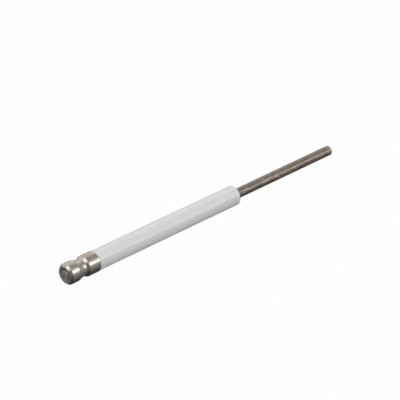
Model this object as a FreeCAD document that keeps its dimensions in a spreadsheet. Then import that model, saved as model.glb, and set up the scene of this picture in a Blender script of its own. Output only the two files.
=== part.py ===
import FreeCAD, Part
import os
import Sketcher

# Flame sensor probe: a heat-resistant electrode rod runs through a glazed ceramic tube into a
# turned push-on terminal cap. Lengths are in millimetres. The probe lies along X with the flame
# tip at +X, and the origin is on the axis, half-way along the visible barrel of the ceramic tube.

DRIVING_DIMENSIONS = {
    # Terminal cap, turned from bar. Axial places count from its outer end face.
    "HeadDiameter": 6.35,
    "CollarDiameter": 6.32,
    "NeckDiameter": 5.24,
    "CapLength": 10.7,
    "EndFaceDiameter": 5.18,
    "HeadStart": 0.67,
    "HeadEnd": 3.3,
    "NeckStart": 4.8,
    "NeckEnd": 6.1,
    "CollarStart": 6.85,
    "HeadRounding": 0.5,
    "NeckRearRounding": 6.0,
    "NeckFrontRounding": 0.6,
    "EdgeBreak": 0.08,
    "DishDiameter": 4.1,
    "DishFloorDiameter": 2.8,
    "DishDepth": 0.17,
    "CapBore": 3.04,
    "SocketDiameter": 4.9,
    "SocketDepth": 2.5,
    # Ceramic tube: a long barrel with a thinner spigot behind its rear shoulder.
    "BarrelDiameter": 6.0,
    "BarrelLength": 53.8,
    "BarrelRounding": 0.42,
    "ShoulderBreak": 0.1,
    "CeramicBore": 3.3,
    "MouthChamfer": 0.3,
    "SpigotDiameter": 4.6,
    "SpigotChamfer": 0.25,
    "JointGap": 0.1,
    # Electrode rod, pressed into the cap with its rear end almost level with the cap's end face.
    "RodDiameter": 3.0,
    "RodExposed": 39.6,
    "TipChamfer": 0.42,
    "TipRounding": 0.2,
    "RodSetback": 0.05,
    "RearChamfer": 0.06,
    # Cement: a plug at each end of the ceramic bore, and a film in the cap's socket.
    "MouthPlugLength": 4.0,
    "MeniscusRim": 0.06,
    "MeniscusDepth": 0.18,
    "RearPlugLength": 5.0,
    "JointFilmDiameter": 5.64,
}

START = 1
END = 2
CENTRE = 3
ORIGIN_POINT = (-1, 1)
HORIZONTAL_AXIS = -1
VERTICAL_AXIS = -2
NEAR = 1e-4
FULL_TURN = 360.0

doc = FreeCAD.newDocument("FlameSensorProbe")
sheet = doc.addObject("Spreadsheet::Sheet", "Dimensions")
for row, (alias, number) in enumerate(DRIVING_DIMENSIONS.items(), start=1):
    sheet.set(f"A{row}", alias)
    sheet.set(f"B{row}", str(number))
    sheet.setAlias(f"B{row}", alias)
doc.recompute()


def formula(text):
    """The words of a formula with each dimension name pointed at the sheet."""
    words = text.split()
    return " ".join(f"Dimensions.{word}" if word in DRIVING_DIMENSIONS else word for word in words)


def value(text):
    """The present value of a formula, in millimetres."""
    return float(sheet.evalExpression(formula(text)))


def new_body(label):
    body = doc.addObject("PartDesign::Body", label)
    body.Label = label
    return body


def origin_feature(body, role):
    """The body's own origin plane or axis with this role."""
    return next(item for item in body.Origin.OriginFeatures if item.Role == role)


def new_sketch(body, name, role, offset="0"):
    """An empty sketch on one of the body's origin planes, moved along the plane's normal."""
    sketch = body.newObject("Sketcher::SketchObject", name)
    sketch.AttachmentSupport = [(origin_feature(body, role), "")]
    sketch.MapMode = "FlatFace"
    if offset != "0":
        sketch.setExpression("AttachmentOffset.Base.z", formula(offset))
    return sketch


def bind_last(sketch, text):
    """Tie the constraint added last to a formula."""
    sketch.setExpression(f"Constraints[{sketch.ConstraintCount - 1}]", formula(text))


def add_circle(sketch, diameter):
    """A circle on the axis."""
    centre = FreeCAD.Vector(0, 0, 0)
    normal = FreeCAD.Vector(0, 0, 1)
    index = sketch.addGeometry(Part.Circle(centre, normal, value(diameter) / 2))
    sketch.addConstraint(Sketcher.Constraint("Coincident", index, CENTRE, *ORIGIN_POINT))
    sketch.addConstraint(Sketcher.Constraint("Diameter", index, value(diameter)))
    bind_last(sketch, diameter)


def add_half_section(body, name, corners):
    """A closed sketch of half a turned section. Each corner is a pair of formulas: the place along
    the axis and the diameter there."""
    sketch = new_sketch(body, name, "XZ_Plane")
    points = [FreeCAD.Vector(value(along), value(across) / 2, 0) for along, across in corners]
    count = len(points)
    for index in range(count):
        sketch.addGeometry(Part.LineSegment(points[index], points[(index + 1) % count]))
    for index in range(count):
        following = (index + 1) % count
        sketch.addConstraint(Sketcher.Constraint("Coincident", index, END, following, START))
    for index, (along, across) in enumerate(corners):
        place_corner(sketch, index, "DistanceX", VERTICAL_AXIS, along, value(along))
        half = "0" if across == "0" else f"( {across} ) / 2"
        place_corner(sketch, index, "DistanceY", HORIZONTAL_AXIS, half, value(across) / 2)
    return sketch


def place_corner(sketch, index, kind, axis, text, number):
    """Hold one coordinate of a corner, on the axis itself where its formula is 0."""
    if text == "0":
        sketch.addConstraint(Sketcher.Constraint("PointOnObject", index, START, axis))
        return
    sketch.addConstraint(Sketcher.Constraint(kind, *ORIGIN_POINT, index, START, number))
    bind_last(sketch, text)


def add_turned(body, name, sketch):
    """Turn a half section a full revolution about the body's X axis."""
    feature = body.newObject("PartDesign::Revolution", name)
    feature.Profile = sketch
    feature.ReferenceAxis = (origin_feature(body, "X_Axis"), [""])
    feature.Angle = FULL_TURN
    doc.recompute()
    return feature


def add_pad(body, name, sketch, length, backwards=False):
    feature = body.newObject("PartDesign::Pad", name)
    feature.Profile = sketch
    feature.Reversed = backwards
    feature.setExpression("Length", formula(length))
    doc.recompute()
    return feature


def add_pocket(body, name, sketch, depth, forwards=True):
    """A round pocket along the axis. It stops the build if it removes nothing."""
    before = body.Shape.Volume
    feature = body.newObject("PartDesign::Pocket", name)
    feature.Profile = sketch
    feature.Reversed = forwards
    feature.setExpression("Length", formula(depth))
    doc.recompute()
    if feature.Shape.Volume > before - NEAR:
        raise RuntimeError(f"{body.Label}: {name} removes nothing")
    return feature


def ring_edge(feature, along, across):
    """The name of the round edge at this place along the axis, with this diameter."""
    place = value(along)
    radius = value(across) / 2
    for number, edge in enumerate(feature.Shape.Edges, start=1):
        curve = edge.Curve
        if not isinstance(curve, Part.Circle):
            continue
        if abs(curve.Center.x - place) < NEAR and abs(curve.Radius - radius) < NEAR:
            return f"Edge{number}"
    raise RuntimeError(f"{feature.Label}: no round edge at {along}, {across}")


def add_edge_feature(body, kind, name, base, rings, size_name, size):
    """A fillet or a chamfer of one size on the round edges listed as (place, diameter) pairs."""
    edges = [ring_edge(base, along, across) for along, across in rings]
    feature = body.newObject(kind, name)
    feature.Base = (base, edges)
    feature.setExpression(size_name, formula(size))
    doc.recompute()
    return feature


def add_fillet(body, name, base, rings, radius):
    return add_edge_feature(body, "PartDesign::Fillet", name, base, rings, "Radius", radius)


def add_chamfer(body, name, base, rings, size):
    return add_edge_feature(body, "PartDesign::Chamfer", name, base, rings, "Size", size)


def place_along_axis(body, text):
    """Put the body's own origin at this distance along X."""
    body.Placement = FreeCAD.Placement()
    body.setExpression("Placement.Base.x", formula(text))


CAP_END_FACE = "0 - BarrelLength / 2 - JointGap - CapLength"
BARREL_REAR = "0 - BarrelLength / 2"
BARREL_FRONT = "BarrelLength / 2"


def make_terminal_cap():
    """Push-on terminal: dished and chamfered head, neck for the spring contact, and collar."""
    body = new_body("terminal_cap")
    outline = add_half_section(body, "CapOutline", [
        ("DishDepth", "0"),
        ("DishDepth", "DishFloorDiameter"),
        ("0", "DishDiameter"),
        ("0", "EndFaceDiameter"),
        ("HeadStart", "HeadDiameter"),
        ("HeadEnd", "HeadDiameter"),
        ("NeckStart", "NeckDiameter"),
        ("NeckEnd", "NeckDiameter"),
        ("CollarStart", "CollarDiameter"),
        ("CapLength", "CollarDiameter"),
        ("CapLength", "0"),
    ])
    blank = add_turned(body, "CapBlank", outline)
    head = add_fillet(body, "HeadFillet", blank, [("HeadEnd", "HeadDiameter")], "HeadRounding")
    neck_start = [("NeckStart", "NeckDiameter")]
    slope = add_fillet(body, "NeckRearFillet", head, neck_start, "NeckRearRounding")
    neck_end = [("NeckEnd", "NeckDiameter")]
    neck = add_fillet(body, "NeckFrontFillet", slope, neck_end, "NeckFrontRounding")
    sharp_rings = [
        ("0", "EndFaceDiameter"),
        ("HeadStart", "HeadDiameter"),
        ("CollarStart", "CollarDiameter"),
        ("CapLength", "CollarDiameter"),
    ]
    add_fillet(body, "EdgeFillet", neck, sharp_rings, "EdgeBreak")
    socket = new_sketch(body, "SocketCircle", "YZ_Plane", "CapLength")
    add_circle(socket, "SocketDiameter")
    add_pocket(body, "CeramicSocket", socket, "SocketDepth", forwards=False)
    bore = new_sketch(body, "BoreCircle", "YZ_Plane")
    add_circle(bore, "CapBore")
    add_pocket(body, "RodBore", bore, "CapLength")
    place_along_axis(body, CAP_END_FACE)
    return body


def make_ceramic_insulator():
    """Glazed ceramic tube, with a spigot at its rear end that sits in the cap's socket."""
    body = new_body("ceramic_insulator")
    barrel_circle = new_sketch(body, "BarrelCircle", "YZ_Plane")
    add_circle(barrel_circle, "BarrelDiameter")
    add_pad(body, "Barrel", barrel_circle, "BarrelLength")
    spigot_circle = new_sketch(body, "SpigotCircle", "YZ_Plane")
    add_circle(spigot_circle, "SpigotDiameter")
    spigot = add_pad(body, "Spigot", spigot_circle, "SocketDepth + JointGap", backwards=True)
    front_ring = [("BarrelLength", "BarrelDiameter")]
    rounded = add_fillet(body, "FrontFillet", spigot, front_ring, "BarrelRounding")
    broken = add_fillet(body, "ShoulderFillet", rounded, [("0", "BarrelDiameter")], "ShoulderBreak")
    spigot_ring = [("0 - SocketDepth - JointGap", "SpigotDiameter")]
    add_chamfer(body, "SpigotEnd", broken, spigot_ring, "SpigotChamfer")
    bore_circle = new_sketch(body, "BoreCircle", "YZ_Plane", "0 - SocketDepth - JointGap")
    add_circle(bore_circle, "CeramicBore")
    bored = add_pocket(body, "RodBore", bore_circle, "SocketDepth + JointGap + BarrelLength")
    add_chamfer(body, "BoreMouth", bored, [("BarrelLength", "CeramicBore")], "MouthChamfer")
    place_along_axis(body, BARREL_REAR)
    return body


def make_electrode_rod():
    """One rod from the cap to the flame tip. Its own origin is in the plane of the cap's end face."""
    body = new_body("electrode_rod")
    tip_place = "CapLength + JointGap + BarrelLength + RodExposed"
    rod_circle = new_sketch(body, "RodCircle", "YZ_Plane", "RodSetback")
    add_circle(rod_circle, "RodDiameter")
    bar = add_pad(body, "Bar", rod_circle, f"{tip_place} - RodSetback")
    rod = add_chamfer(body, "RearChamfer", bar, [("RodSetback", "RodDiameter")], "RearChamfer")
    tip = add_chamfer(body, "TipChamfer", rod, [(tip_place, "RodDiameter")], "TipChamfer")
    tip_rings = [
        (f"{tip_place} - TipChamfer", "RodDiameter"),
        (tip_place, "RodDiameter - 2 * TipChamfer"),
    ]
    add_fillet(body, "TipFillet", tip, tip_rings, "TipRounding")
    place_along_axis(body, CAP_END_FACE)
    return body


def make_mouth_cement():
    """Plug round the rod at the front of the ceramic bore, its face hollowed like a meniscus."""
    body = new_body("mouth_cement")
    back = "0 - MouthPlugLength"
    outline = add_half_section(body, "MouthOutline", [
        (back, "RodDiameter"),
        (back, "CeramicBore"),
        ("0 - MouthChamfer", "CeramicBore"),
        ("0 - MeniscusRim", "CeramicBore + 2 * MouthChamfer - 2 * MeniscusRim"),
        ("0 - MeniscusDepth", "( RodDiameter + CeramicBore ) / 2"),
        ("0 - MeniscusRim", "RodDiameter"),
    ])
    add_turned(body, "MouthPlug", outline)
    place_along_axis(body, BARREL_FRONT)
    return body


def make_rear_cement():
    """Plug round the rod at the rear of the ceramic bore."""
    body = new_body("rear_cement")
    rings = new_sketch(body, "RearRings", "YZ_Plane")
    add_circle(rings, "CeramicBore")
    add_circle(rings, "RodDiameter")
    add_pad(body, "RearPlug", rings, "RearPlugLength")
    place_along_axis(body, "0 - BarrelLength / 2 - JointGap - SocketDepth")
    return body


def make_socket_cement():
    """Film round the spigot in the cap's socket, with the thin joint between collar and shoulder."""
    body = new_body("socket_cement")
    outline = add_half_section(body, "SocketOutline", [
        ("SpigotChamfer - SocketDepth", "SpigotDiameter"),
        ("SpigotChamfer - SocketDepth", "SocketDiameter"),
        ("0", "SocketDiameter"),
        ("0", "JointFilmDiameter"),
        ("JointGap", "JointFilmDiameter"),
        ("JointGap", "SpigotDiameter"),
    ])
    add_turned(body, "SocketFilm", outline)
    place_along_axis(body, "0 - BarrelLength / 2 - JointGap")
    return body


def check_document():
    """Stop if any object of the document failed, or if a sketch is open to drift."""
    doc.recompute()
    for item in doc.Objects:
        if "Invalid" in item.State or "Error" in item.State:
            raise RuntimeError(f"{item.Name} is in state {item.State}")
        if item.TypeId == "Sketcher::SketchObject" and not item.FullyConstrained:
            raise RuntimeError(f"{item.Name} isn't fully constrained")


def check_shape(body):
    """Stop unless the body is one valid solid."""
    shape = body.Shape
    if shape.isNull() or not shape.isValid() or len(shape.Solids) != 1:
        raise RuntimeError(f"{body.Label} isn't one valid solid")


bodies = [
    make_terminal_cap(),
    make_ceramic_insulator(),
    make_electrode_rod(),
    make_mouth_cement(),
    make_rear_cement(),
    make_socket_cement(),
]
check_document()
for sub_part in bodies:
    check_shape(sub_part)
os.makedirs("parts", exist_ok=True)
for sub_part in bodies:
    sub_part.Shape.exportStep(f"parts/{sub_part.Label}.step")
    box = sub_part.Shape.BoundBox
    print(f"{sub_part.Label}: {sub_part.Shape.Volume:.2f} mm3, x {box.XMin:.2f} to {box.XMax:.2f}")
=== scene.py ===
import math

import bpy
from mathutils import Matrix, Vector, noise


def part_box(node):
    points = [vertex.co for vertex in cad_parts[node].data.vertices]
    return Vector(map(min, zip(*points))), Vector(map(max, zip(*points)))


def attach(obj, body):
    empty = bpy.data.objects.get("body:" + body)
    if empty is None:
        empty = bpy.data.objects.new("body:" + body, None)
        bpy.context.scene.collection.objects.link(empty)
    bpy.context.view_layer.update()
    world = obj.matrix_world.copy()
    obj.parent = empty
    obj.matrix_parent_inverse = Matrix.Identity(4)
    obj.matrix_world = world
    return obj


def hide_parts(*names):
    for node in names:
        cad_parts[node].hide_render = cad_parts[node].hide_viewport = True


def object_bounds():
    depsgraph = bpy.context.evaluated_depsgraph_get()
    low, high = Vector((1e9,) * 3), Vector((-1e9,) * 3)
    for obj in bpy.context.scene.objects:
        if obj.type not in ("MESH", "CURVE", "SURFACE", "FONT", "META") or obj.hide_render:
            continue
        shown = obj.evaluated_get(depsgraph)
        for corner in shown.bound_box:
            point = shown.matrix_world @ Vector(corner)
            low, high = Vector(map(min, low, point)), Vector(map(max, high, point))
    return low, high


# Flame sensor probe, dressed for a studio picture. The CAD model is the fixed frame: every piece
# below takes its place from the boxes of the CAD nodes. Sizes are in millimetres until the
# vertices are written, and places along the probe count from a named end of a CAD node.

MM = 0.001

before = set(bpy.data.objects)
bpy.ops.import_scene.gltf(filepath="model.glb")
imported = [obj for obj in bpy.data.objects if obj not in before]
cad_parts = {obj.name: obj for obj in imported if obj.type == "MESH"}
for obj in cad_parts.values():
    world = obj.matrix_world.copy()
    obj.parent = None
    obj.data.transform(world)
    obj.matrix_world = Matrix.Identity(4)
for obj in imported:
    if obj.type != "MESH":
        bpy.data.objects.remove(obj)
cad_low, cad_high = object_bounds()


def cad_start(node):
    """Where a CAD node begins along the probe."""
    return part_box(node)[0].x / MM


def cad_end(node):
    """Where a CAD node ends along the probe."""
    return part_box(node)[1].x / MM


def cad_radius(node):
    """Outer radius of a CAD node."""
    low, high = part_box(node)
    return max(high.y - low.y, high.z - low.z) / 2 / MM


CAP_REAR = cad_start("terminal_cap")
CAP_FRONT = cad_end("terminal_cap")
CERAMIC_REAR = cad_start("ceramic_insulator")
CERAMIC_FRONT = cad_end("ceramic_insulator")
ROD_REAR = cad_start("electrode_rod")
ROD_TIP = cad_end("electrode_rod")

# The cap. Its places along the probe count from its rear.
HEAD_RADIUS = cad_radius("terminal_cap")
COLLAR_RADIUS = HEAD_RADIUS - 0.015
NECK_RADIUS = 2.62
END_FACE_RADIUS = 2.59
HEAD_START = 0.67
HEAD_END = 3.30
NECK_START = 4.80
NECK_END = 6.10
COLLAR_START = 6.85
DISH_RADIUS = 2.05
DISH_DEPTH = 0.14
CAP_BORE_RADIUS = 1.52
SOCKET_RADIUS = 2.45
SOCKET_DEPTH = 2.5

# The ceramic. Its barrel begins just in front of the cap.
JOINT_GAP = 0.1
BARREL_RADIUS = cad_radius("ceramic_insulator")
BARREL_REAR = CAP_FRONT + JOINT_GAP
BARREL_ROUNDING = 0.42
CERAMIC_BORE_RADIUS = 1.65
MOUTH_CHAMFER = 0.3
SPIGOT_RADIUS = 2.3
SPIGOT_CHAMFER = 0.25

# The rod.
ROD_RADIUS = 1.5
REAR_CHAMFER = 0.06
TIP_CHAMFER = 0.42

# The cement. At the mouth its face hangs a little below the ceramic's.
MOUTH_PLUG_LENGTH = 4.0
REAR_PLUG_LENGTH = 5.0
MENISCUS_RIM = 0.06
MENISCUS_DEPTH = 0.18
JOINT_FILM_RADIUS = 2.82


# ---------------------------------------------------------------- turned pieces


def unit(a, b):
    """Unit step from profile point a to profile point b."""
    dx, dr = b[0] - a[0], b[1] - a[1]
    length = math.hypot(dx, dr)
    return dx / length, dr / length


def corner_arc(before, corner, after, radius):
    """Points of the arc that rounds one corner of a profile."""
    ax, ar = unit(corner, before)
    bx, br = unit(corner, after)
    between = math.acos(max(-1.0, min(1.0, ax * bx + ar * br)))
    turn = math.pi - between
    if radius <= 0 or turn < 0.01:
        return [corner[:2]]
    reach = radius * math.tan(turn / 2)
    start = corner[0] + ax * reach, corner[1] + ar * reach
    mx, mr = ax + bx, ar + br
    middle = math.hypot(mx, mr)
    away = radius / math.cos(turn / 2)
    centre = corner[0] + mx / middle * away, corner[1] + mr / middle * away
    end = corner[0] + bx * reach, corner[1] + br * reach
    from_angle = math.atan2(start[1] - centre[1], start[0] - centre[0])
    to_angle = math.atan2(end[1] - centre[1], end[0] - centre[0])
    sweep = math.remainder(to_angle - from_angle, 2 * math.pi)
    steps = max(3, math.ceil(turn / math.radians(9)))
    points = []
    for i in range(steps + 1):
        angle = from_angle + sweep * i / steps
        points.append((centre[0] + radius * math.cos(angle), centre[1] + radius * math.sin(angle)))
    return points


def rounded_profile(corners, closed, step):
    """Profile through (x, radius, rounding) corners, with its straight runs split into steps."""
    count = len(corners)
    outline = []
    for i, corner in enumerate(corners):
        if not closed and i in (0, count - 1):
            outline.append(corner[:2])
        else:
            outline += corner_arc(corners[i - 1], corner, corners[(i + 1) % count], corner[2])
    profile = []
    runs = len(outline) if closed else len(outline) - 1
    for i in range(runs):
        a, b = outline[i], outline[(i + 1) % len(outline)]
        length = math.dist(a, b)
        if length < 1e-6:
            continue
        parts = max(1, math.ceil(length / step))
        for k in range(parts):
            profile.append((a[0] + (b[0] - a[0]) * k / parts, a[1] + (b[1] - a[1]) * k / parts))
    if not closed:
        profile.append(outline[-1])
    return profile


def turned(name, corners, closed=True, segments=128, step=0.5, shape=None):
    """A piece turned about the probe's axis. shape moves a point (x, radius, angle) a little."""
    profile = rounded_profile(corners, closed, step)
    vertices, rings = [], []
    for x, r in profile:
        on_axis = r < 1e-5
        ring = []
        for k in range(1 if on_axis else segments):
            angle = 2 * math.pi * k / segments
            px, pr = shape(x, r, angle) if shape else (x, r)
            ring.append(len(vertices))
            vertices.append((px * MM, pr * math.cos(angle) * MM, pr * math.sin(angle) * MM))
        rings.append(ring)
    faces = []
    pairs = list(zip(rings, rings[1:]))
    if closed:
        pairs.append((rings[-1], rings[0]))
    for a, b in pairs:
        for k in range(segments):
            j = (k + 1) % segments
            if len(a) == 1:
                faces.append((a[0], b[j], b[k]))
            elif len(b) == 1:
                faces.append((a[k], a[j], b[0]))
            else:
                faces.append((a[k], a[j], b[j], b[k]))
    mesh = bpy.data.meshes.new(name)
    mesh.from_pydata(vertices, [], faces)
    mesh.polygons.foreach_set("use_smooth", [True] * len(faces))
    mesh.validate()
    mesh.update()
    piece = bpy.data.objects.new(name, mesh)
    bpy.context.scene.collection.objects.link(piece)
    return piece


def ripple(x, r, angle, along, around, seed):
    """Smooth noise from -1 to 1 on the surface. along and around are its sizes in millimetres."""
    place = (x / along, r * math.cos(angle) / around, r * math.sin(angle) / around + seed)
    return noise.noise(Vector(place))


# ---------------------------------------------------------------- node helpers


class Tree:
    """A node tree with short ways to add nodes."""

    def __init__(self, owner):
        """Empties the node tree of a material or a world."""
        owner.use_nodes = True
        self.tree = owner.node_tree
        self.tree.nodes.clear()

    def add(self, kind, inputs=(), **settings):
        """A new node with its settings made and its inputs filled."""
        made = self.tree.nodes.new(kind)
        for name, setting in settings.items():
            setattr(made, name, setting)
        for name, given in dict(inputs).items():
            self.plug(made.inputs[name], given)
        return made

    def plug(self, socket, given):
        """Fills an input with a plain value or links it to another node's output."""
        if isinstance(given, Number):
            given = given.socket
        if isinstance(given, bpy.types.NodeSocket):
            self.tree.links.new(given, socket)
        else:
            socket.default_value = given

    def maths(self, operation, *values):
        """The result of one maths node."""
        made = self.add("ShaderNodeMath", enumerate(values), operation=operation)
        return Number(self, made.outputs[0])

    def number(self, socket):
        """An output, ready for arithmetic."""
        return Number(self, socket)

    def ramp(self, value, stops):
        """Straight lines through (position, level) stops, the positions from 0 to 1."""
        made = self.add("ShaderNodeValToRGB", {"Fac": value})
        made.color_ramp.interpolation = "LINEAR"
        points = made.color_ramp.elements
        while len(points) < len(stops):
            points.new(0.5)
        for point, (position, level) in zip(points, stops):
            point.position = position
            point.color = (level, level, level, 1)
        return Number(self, made.outputs["Color"])

    def dot(self, vector, axis):
        """How far a vector reaches along an axis."""
        inputs = {0: vector, 1: tuple(axis)}
        made = self.add("ShaderNodeVectorMath", inputs, operation="DOT_PRODUCT")
        return Number(self, made.outputs["Value"])

    def noise(self, vector, scale, detail=2.0, roughness=0.5, distortion=0.0):
        """Cloudy noise from 0 to 1 with about scale blotches per unit of the vector."""
        made = self.add(
            "ShaderNodeTexNoise",
            {"Vector": vector, "Scale": scale, "Detail": detail, "Roughness": roughness,
             "Distortion": distortion},
        )
        return Number(self, made.outputs["Fac"])

    def spread(self, value, low, high, to_low=0.0, to_high=1.0):
        """Maps low..high to to_low..to_high with soft ends."""
        made = self.add(
            "ShaderNodeMapRange",
            {"Value": value, "From Min": low, "From Max": high, "To Min": to_low, "To Max": to_high},
            interpolation_type="SMOOTHSTEP",
        )
        return Number(self, made.outputs["Result"])

    def blend(self, factor, a, b):
        """Colour a where the factor is 0, colour b where it is 1."""
        made = self.add("ShaderNodeMix", data_type="RGBA", blend_type="MIX")
        self.plug(made.inputs[0], factor)
        self.plug(made.inputs[6], a)
        self.plug(made.inputs[7], b)
        return made.outputs[2]

    def vector(self, x, y, z):
        """A vector put together from three numbers."""
        return self.add("ShaderNodeCombineXYZ", {"X": x, "Y": y, "Z": z}).outputs["Vector"]


class Number:
    """A number in a node tree, so that node maths reads as ordinary arithmetic."""

    def __init__(self, tree, socket):
        self.tree, self.socket = tree, socket

    def __add__(self, other):
        return self.tree.maths("ADD", self, other)

    def __sub__(self, other):
        return self.tree.maths("SUBTRACT", self, other)

    def __mul__(self, other):
        return self.tree.maths("MULTIPLY", self, other)

    def __truediv__(self, other):
        return self.tree.maths("DIVIDE", self, other)

    def size(self):
        """The number without its sign."""
        return self.tree.maths("ABSOLUTE", self)


class Surface(Tree):
    """A material whose patterns are laid out in millimetres along and round the probe."""

    def __init__(self, name):
        """Starts a material with its place in millimetres and its distance from the axis."""
        self.material = bpy.data.materials.new(name)
        super().__init__(self.material)
        coordinates = self.add("ShaderNodeTexCoord")
        self.place = self.add(
            "ShaderNodeVectorMath", {0: coordinates.outputs["Object"], "Scale": 1 / MM},
            operation="SCALE",
        ).outputs[0]
        parts = self.add("ShaderNodeSeparateXYZ", {"Vector": self.place})
        self.x, self.y, self.z = (self.number(s) for s in parts.outputs)
        self.radius = self.maths("SQRT", self.y * self.y + self.z * self.z)

    def bump(self, height, strength, depth, normal=None):
        """A normal tilted by a height pattern, depth in millimetres, on top of another normal."""
        made = self.add(
            "ShaderNodeBump", {"Height": height, "Strength": strength, "Distance": depth * MM}
        )
        if normal is not None:
            self.plug(made.inputs["Normal"], normal)
        return made.outputs["Normal"]

    def finish(self, **inputs):
        """Closes the material with its shader, whose inputs are named with _ for a space."""
        shader = self.add("ShaderNodeBsdfPrincipled")
        for name, given in inputs.items():
            self.plug(shader.inputs[name.replace("_", " ")], given)
        self.add("ShaderNodeOutputMaterial", {"Surface": shader.outputs["BSDF"]})
        return self.material


# ---------------------------------------------------------------- materials


def nickel_plating():
    """Satin nickel over turned brass: fine rings from the tool, worn and slightly stained, with
    painted shade in the dish.
    """
    s = Surface("nickel_plating")
    plate = (0.685, 0.647, 0.588, 1)
    stained = (0.61, 0.515, 0.42, 1)
    rubbed = (0.78, 0.74, 0.69, 1)
    # Colour of the painted shade in the dish.
    painted_dish_shade = (0.15, 0.13, 0.11, 1)

    rings = s.vector(s.x, s.radius, 0.0)
    fine = s.noise(rings, 22.0, 2.0, 0.6)
    coarse = s.noise(rings, 5.0, 1.0)
    patches = s.noise(s.place, 0.55, 4.0, 0.6, 0.3)
    grain = s.noise(s.place, 9.0, 2.0)
    colour = s.blend(s.spread(patches, 0.42, 0.68), plate, stained)
    colour = s.blend(s.spread(grain, 0.35, 0.7) * 0.18, colour, rubbed)

    # Painted shade in the dish, darkest on its side towards -Y and +Z.
    in_dish = s.spread(s.radius, DISH_RADIUS - 0.35, DISH_RADIUS, 1.0, 0.0)
    shade_side = s.spread(s.dot(s.place, (0, -0.78, 0.63)), -1.2, 1.3, 0.15, 1.0)
    colour = s.blend(in_dish * shade_side * 0.9, colour, painted_dish_shade)

    roughness = fine * 0.10 + patches * 0.12 + 0.17
    normal = s.bump(fine * 0.6 + coarse, 0.35, 0.006)
    normal = s.bump(patches, 0.30, 0.02, normal)
    return s.finish(Base_Color=colour, Metallic=1.0, Roughness=roughness, Normal=normal)


def glazed_ceramic():
    """White glazed alumina, bare where it sits in the cap and inside its bore."""
    s = Surface("glazed_ceramic")
    milky = (0.92, 0.92, 0.905, 1)
    white = (0.945, 0.945, 0.93, 1)
    speckled = (0.55, 0.52, 0.47, 1)
    dull = (0.74, 0.73, 0.70, 1)
    chalky = (0.82, 0.81, 0.79, 1)

    glaze = s.blend(s.noise(s.place, 0.25, 3.0), milky, white)
    specks = s.spread(s.noise(s.place, 2.6, 2.0), 0.70, 0.78)
    glaze = s.blend(specks * 0.05, glaze, speckled)
    bisque = s.blend(s.noise(s.place, 14.0, 3.0), dull, chalky)
    bare = s.spread(s.radius, BARREL_RADIUS - 0.62, BARREL_RADIUS - 0.30, 1.0, 0.0)
    colour = s.blend(bare, glaze, bisque)

    roughness = bare * 0.5 + s.noise(s.place, 0.8, 1.0) * 0.04 + 0.02
    smooth = s.bump(s.noise(s.vector(s.x * 0.3, s.y, s.z), 0.35, 1.0), 0.12, 0.02)
    normal = s.bump(s.noise(s.place, 30.0, 2.0) * bare, 0.4, 0.02, smooth)
    return s.finish(Base_Color=colour, Roughness=roughness, Normal=normal)


def rod_alloy():
    """Heat-resistant alloy wire with its brown-grey oxide, scuffed in streaks along its length."""
    s = Surface("rod_alloy")
    brown = (0.342, 0.262, 0.208, 1)
    grey = (0.352, 0.300, 0.260, 1)
    rubbed = (0.53, 0.475, 0.42, 1)
    scraped = (0.56, 0.515, 0.465, 1)
    burnished = (0.55, 0.525, 0.49, 1)
    torn = (0.50, 0.45, 0.39, 1)
    bright = (0.84, 0.79, 0.73, 1)

    streak = s.noise(s.vector(s.x * 0.12, s.y, s.z), 4.0, 3.0, 0.55, 0.2)
    mottle = s.noise(s.vector(s.x * 0.3, s.y, s.z), 0.9, 2.5, 0.5, 0.3)
    scuff = s.noise(s.vector(s.x * 0.4, s.y, s.z), 1.1, 1.5, 0.45, 0.6)
    pit = s.noise(s.place, 8.0, 1.0)
    colour = s.blend(s.spread(mottle, 0.40, 0.60), brown, grey)
    colour = s.blend(s.spread(streak, 0.50, 0.72) * 0.5, colour, rubbed)
    colour = s.blend(s.spread(scuff, 0.56, 0.68) * 0.45, colour, scraped)

    # The tip is worn brighter, and the cropped rear end is bare metal.
    at_tip = s.spread(s.x, ROD_TIP - 2.6, ROD_TIP - 0.2)
    colour = s.blend(at_tip * 0.8, colour, burnished)
    cropped = s.blend(s.spread(mottle * 0.8 + pit * 0.2, 0.40, 0.60), torn, bright)
    at_rear = s.spread(s.x, CAP_REAR + 0.1, CAP_REAR + 0.3, 1.0, 0.0)
    colour = s.blend(at_rear, colour, cropped)

    roughness = mottle * 0.25 + streak * 0.12 + 0.22
    normal = s.bump(streak, 0.5, 0.03)
    normal = s.bump(mottle, 0.9, 0.22, normal)
    normal = s.bump(pit, 0.25, 0.006, normal)
    return s.finish(Base_Color=colour, Metallic=0.95, Roughness=roughness, Normal=normal)


def cement():
    """Refractory cement: pale, matte and grainy, with darker specks of sand."""
    s = Surface("cement")
    dark = (0.50, 0.47, 0.42, 1)
    pale = (0.68, 0.65, 0.60, 1)
    sand = (0.30, 0.27, 0.24, 1)

    grains = s.spread(s.noise(s.place, 9.0, 3.0, 0.7), 0.55, 0.70)
    colour = s.blend(s.noise(s.place, 1.8, 3.0), dark, pale)
    colour = s.blend(grains * 0.6, colour, sand)
    normal = s.bump(s.noise(s.place, 16.0, 4.0, 0.7), 0.7, 0.05)
    return s.finish(Base_Color=colour, Roughness=0.9, Normal=normal, Specular_IOR_Level=0.25)


NICKEL = nickel_plating()
GLAZE = glazed_ceramic()
ALLOY = rod_alloy()
CEMENT = cement()


def dress(piece, material, node):
    """Gives a piece its material and puts it in the place of its CAD node."""
    piece.data.materials.append(material)
    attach(piece, "root")
    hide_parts(node)


# ---------------------------------------------------------------- the probe


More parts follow.
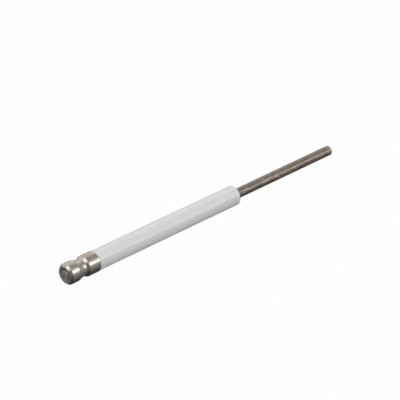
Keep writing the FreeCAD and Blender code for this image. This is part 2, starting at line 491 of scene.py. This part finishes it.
def make_cap():
    """Turned push-on terminal: chamfered head, waisted neck, collar with a socket in its front."""
    rear, front = CAP_REAR, CAP_FRONT
    corners = [
        (rear, DISH_RADIUS, 0.05),
        (rear, END_FACE_RADIUS, 0.08),
        (rear + HEAD_START, HEAD_RADIUS, 0.12),
        (rear + HEAD_END, HEAD_RADIUS, 0.5),
        (rear + NECK_START, NECK_RADIUS, 6.0),
        (rear + NECK_END, NECK_RADIUS, 0.6),
        (rear + COLLAR_START, COLLAR_RADIUS, 0.12),
        (front, COLLAR_RADIUS, 0.08),
        (front, SOCKET_RADIUS, 0.04),
        (front - SOCKET_DEPTH, SOCKET_RADIUS, 0.04),
        (front - SOCKET_DEPTH, CAP_BORE_RADIUS, 0.03),
        (rear + DISH_DEPTH, CAP_BORE_RADIUS, 0.03),
    ]

    def worn(x, r, angle):
        """Slight dents from use, deeper on the head, none of it standing above the CAD skin."""
        if r < NECK_RADIUS - 0.1:
            return x, r
        depth = 0.010 if x < CAP_REAR + HEAD_END + 0.7 else 0.005
        return x, r + depth * (ripple(x, r, angle, 1.6, 1.3, 3.0) - 1)

    cap = turned("terminal_cap_shell", corners, segments=160, step=0.12, shape=worn)
    dress(cap, NICKEL, "terminal_cap")


def make_ceramic():
    """Glazed tube with a rounded front edge, a spigot for the cap and a chamfered bore."""
    rear, front = BARREL_REAR, CERAMIC_FRONT
    corners = [
        (CERAMIC_REAR, CERAMIC_BORE_RADIUS, 0.03),
        (CERAMIC_REAR, SPIGOT_RADIUS - SPIGOT_CHAMFER, 0.05),
        (CERAMIC_REAR + SPIGOT_CHAMFER, SPIGOT_RADIUS, 0.05),
        (rear, SPIGOT_RADIUS, 0.05),
        (rear, BARREL_RADIUS, 0.1),
        (front, BARREL_RADIUS, BARREL_ROUNDING),
        (front, CERAMIC_BORE_RADIUS + MOUTH_CHAMFER, 0.05),
        (front - MOUTH_CHAMFER, CERAMIC_BORE_RADIUS, 0.05),
    ]

    def wavy(x, r, angle):
        """The glaze is not perfectly even."""
        if r < SPIGOT_RADIUS + 0.2:
            return x, r
        return x, r + 0.004 * (ripple(x, r, angle, 14.0, 2.5, 11.0) - 1)

    tube = turned("ceramic_tube", corners, segments=144, step=0.4, shape=wavy)
    dress(tube, GLAZE, "ceramic_insulator")


def make_rod():
    """One rod from its end in the cap to the chamfered tip, with a drawn, scaled skin."""
    corners = [
        (ROD_REAR, 0.0, 0),
        (ROD_REAR, ROD_RADIUS - REAR_CHAMFER, 0.06),
        (ROD_REAR + REAR_CHAMFER, ROD_RADIUS, 0.05),
        (ROD_TIP - TIP_CHAMFER, ROD_RADIUS, 0.2),
        (ROD_TIP, ROD_RADIUS - TIP_CHAMFER, 0.2),
        (ROD_TIP, 0.0, 0),
    ]

    def skin(x, r, angle):
        """A torn face at either end, and scale and drawing marks where the rod is bare."""
        shift, scale = 0.0, 0.0
        if x < ROD_REAR + 0.02:
            shift = 0.05 * ripple(x, r, angle, 0.9, 0.8, 21.0)
        if x > ROD_TIP - 0.02:
            shift = 0.02 * ripple(x, r, angle, 0.9, 0.5, 5.0) - 0.01
        if x > CERAMIC_FRONT - 1 and r > 0.5:
            scale = 0.016 * ripple(x, r, angle, 1.3, 0.7, 31.0) + 0.008
            scale += 0.008 * ripple(x, r, angle, 7.0, 0.35, 41.0)
        return x + shift, r + scale

    rod = turned("sensing_rod", corners, closed=False, segments=96, step=0.3, shape=skin)
    dress(rod, ALLOY, "electrode_rod")


def make_cement():
    """The fillings that seal the rod in the ceramic and the ceramic in the cap."""
    front = CERAMIC_FRONT

    def grainy(x, r, angle):
        """A rough, shrunken surface where the cement shows at the mouth."""
        if x < front - MOUTH_CHAMFER - 0.02:
            return x, r
        return x - 0.03 * (1 + ripple(x, r, angle, 0.5, 0.28, 51.0)), r

    mouth = turned(
        "mouth_cement_plug",
        [
            (front - MOUTH_PLUG_LENGTH, ROD_RADIUS, 0.02),
            (front - MOUTH_PLUG_LENGTH, CERAMIC_BORE_RADIUS, 0.02),
            (front - MOUTH_CHAMFER, CERAMIC_BORE_RADIUS, 0.02),
            (front - MENISCUS_RIM, CERAMIC_BORE_RADIUS + MOUTH_CHAMFER - MENISCUS_RIM, 0.02),
            (front - MENISCUS_DEPTH, (ROD_RADIUS + CERAMIC_BORE_RADIUS) / 2, 0.05),
            (front - MENISCUS_RIM, ROD_RADIUS, 0.02),
        ],
        segments=128, step=0.12, shape=grainy,
    )
    dress(mouth, CEMENT, "mouth_cement")
    rear = turned(
        "rear_cement_plug",
        [
            (CERAMIC_REAR, ROD_RADIUS, 0.02),
            (CERAMIC_REAR, CERAMIC_BORE_RADIUS, 0.02),
            (CERAMIC_REAR + REAR_PLUG_LENGTH, CERAMIC_BORE_RADIUS, 0.02),
            (CERAMIC_REAR + REAR_PLUG_LENGTH, ROD_RADIUS, 0.02),
        ],
        segments=96, step=0.5,
    )
    dress(rear, CEMENT, "rear_cement")
    inner = CERAMIC_REAR + SPIGOT_CHAMFER
    film = turned(
        "socket_cement_film",
        [
            (inner, SPIGOT_RADIUS, 0.02),
            (inner, SOCKET_RADIUS, 0.02),
            (CAP_FRONT, SOCKET_RADIUS, 0.02),
            (CAP_FRONT, JOINT_FILM_RADIUS, 0.02),
            (BARREL_REAR, JOINT_FILM_RADIUS, 0.02),
            (BARREL_REAR, SPIGOT_RADIUS, 0.02),
        ],
        segments=128, step=0.3,
    )
    dress(film, CEMENT, "socket_cement")


make_cap()
make_ceramic()
make_rod()
make_cement()


# ---------------------------------------------------------------- studio


# White of the surroundings, a shade under full white.
BACKDROP = 0.991

# Brightness of the room by height, from straight below (0) to straight above (1).
ROOM_LEVELS = [
    (0.0, 0.06), (0.10, 0.07), (0.20, 0.14), (0.335, 0.245), (0.5, 0.37), (0.62, 0.34), (1.0, 0.34),
]
# The room is darker towards this side, behind the camera.
DIM_SIDE = (-0.62, -0.78, 0.0)

# Soft lights far away. Each has its direction, half its width and height as a share of its
# distance, the softness of its edge and its brightness.
SOFTBOXES = {
    "key": ((0.465, -0.76, 0.48), 0.33, 0.235, 0.05, 1.35),
    "strip": ((0.50, -0.75, 0.32), 0.28, 0.08, 0.03, 0.9),
    "overhead": ((-0.41, 0.06, 0.91), 0.42, 0.42, 0.08, 1.4),
    "back": ((0.35, 0.80, 0.48), 1.1, 0.55, 0.12, 0.38),
}

# Very soft lights for dull surfaces only, never mirrored. Each has its direction, its strength
# and its width in degrees.
FILLS = {
    "sky": ((0.0, 0.0, 1.0), 2.19, 170),
    "bounce": ((0.0, 0.0, -1.0), 0.90, 170),
    "front_fill": ((0.0, -0.975, -0.22), 0.24, 50),
    "top_fill": ((-0.20, 0.0, 0.93), 0.19, 50),
}

FLOOR_SIZE = 12.0

# The camera looks at a point beside the probe's middle, in millimetres.
CAMERA_AIM = (17.568, 4.659, 0.0)
CAMERA_DISTANCE = 703.0
CAMERA_AZIMUTH = math.radians(-42.433)
CAMERA_ELEVATION = math.radians(30.934)
CAMERA_LENS = 216.0


def softbox(tree, direction, centre, half_width, half_height, soft, level):
    """A rectangular soft light far away, seen round a centre direction, with soft edges."""
    aim = Vector(centre).normalized()
    side = Vector((0, 0, 1)).cross(aim).normalized()
    top = aim.cross(side)
    ahead = tree.maths("MAXIMUM", tree.dot(direction, aim), 0.001)
    across = (tree.dot(direction, side) / ahead).size()
    upward = (tree.dot(direction, top) / ahead).size()
    inside = tree.spread(across, half_width - soft, half_width + soft, 1.0, 0.0)
    inside = inside * tree.spread(upward, half_height - soft, half_height + soft, 1.0, 0.0)
    return inside * level


def make_room():
    """White surroundings for the camera; for shiny surfaces, a dim room with its soft lights."""
    world = bpy.data.worlds.new("studio")
    bpy.context.scene.world = world
    t = Tree(world)
    direction = t.add("ShaderNodeTexCoord").outputs["Generated"]
    height = t.dot(direction, (0, 0, 1)) * 0.5 + 0.5
    light = t.ramp(height, ROOM_LEVELS)
    light = light * t.spread(t.dot(direction, DIM_SIDE), 0.15, 0.75, 1.0, 0.55)
    for box in SOFTBOXES.values():
        light = light + softbox(t, direction, *box)
    white = (1, 1, 1, 1)
    shade = t.add("ShaderNodeBackground", {"Color": white, "Strength": light})
    plain = t.add("ShaderNodeBackground", {"Color": white, "Strength": BACKDROP})
    to_camera = t.add("ShaderNodeLightPath").outputs["Is Camera Ray"]
    mixed = t.add("ShaderNodeMixShader", {0: to_camera, 1: shade.outputs[0], 2: plain.outputs[0]})
    t.add("ShaderNodeOutputWorld", {"Surface": mixed.outputs[0]})
    world.cycles_visibility.diffuse = False


def add_fill(name, direction, strength, width):
    """A very soft light on dull surfaces only, never mirrored by glossy ones."""
    lamp = bpy.data.lights.new(name, "SUN")
    lamp.energy = strength
    lamp.angle = math.radians(width)
    fill = bpy.data.objects.new(name, lamp)
    fill.rotation_mode = "QUATERNION"
    fill.rotation_quaternion = Vector(direction).to_track_quat("Z", "Y")
    fill.visible_glossy = False
    fill.visible_camera = False
    bpy.context.scene.collection.objects.link(fill)


def make_floor():
    """A plain floor under the probe that glows as white as the surroundings."""
    half = FLOOR_SIZE / 2
    level = cad_low.z
    mesh = bpy.data.meshes.new("studio_floor")
    mesh.from_pydata(
        [(-half, -half, level), (half, -half, level), (half, half, level), (-half, half, level)],
        [], [(0, 1, 2, 3)],
    )
    paint = bpy.data.materials.new("studio_floor")
    t = Tree(paint)
    glow = t.add("ShaderNodeEmission", {"Color": (1, 1, 1, 1), "Strength": BACKDROP})
    t.add("ShaderNodeOutputMaterial", {"Surface": glow.outputs[0]})
    mesh.materials.append(paint)
    floor = bpy.data.objects.new("studio_floor", mesh)
    bpy.context.scene.collection.objects.link(floor)
    floor.visible_diffuse = False
    floor.visible_glossy = False
    floor.visible_transmission = False
    floor.visible_shadow = False


def set_view():
    """Colours are shown as they are, without a film look."""
    view = bpy.context.scene.view_settings
    view.view_transform = "Standard"
    view.look = "None"
    view.exposure = 0.0
    view.gamma = 1.0


def make_camera():
    """A long lens behind the cap and above it."""
    data = bpy.data.cameras.new("camera")
    data.sensor_width = 36.0
    data.lens = CAMERA_LENS
    data.clip_start = 0.01
    data.clip_end = 50.0
    camera = bpy.data.objects.new("camera", data)
    bpy.context.scene.collection.objects.link(camera)
    back = Vector((
        math.sin(CAMERA_AZIMUTH) * math.cos(CAMERA_ELEVATION),
        -math.cos(CAMERA_AZIMUTH) * math.cos(CAMERA_ELEVATION),
        math.sin(CAMERA_ELEVATION),
    ))
    camera.location = (Vector(CAMERA_AIM) + back * CAMERA_DISTANCE) * MM
    camera.rotation_mode = "QUATERNION"
    camera.rotation_quaternion = (-back).to_track_quat("-Z", "Y")
    bpy.context.scene.camera = camera


make_room()
for fill_name, fill_setting in FILLS.items():
    add_fill(fill_name, *fill_setting)
make_floor()
set_view()
make_camera()
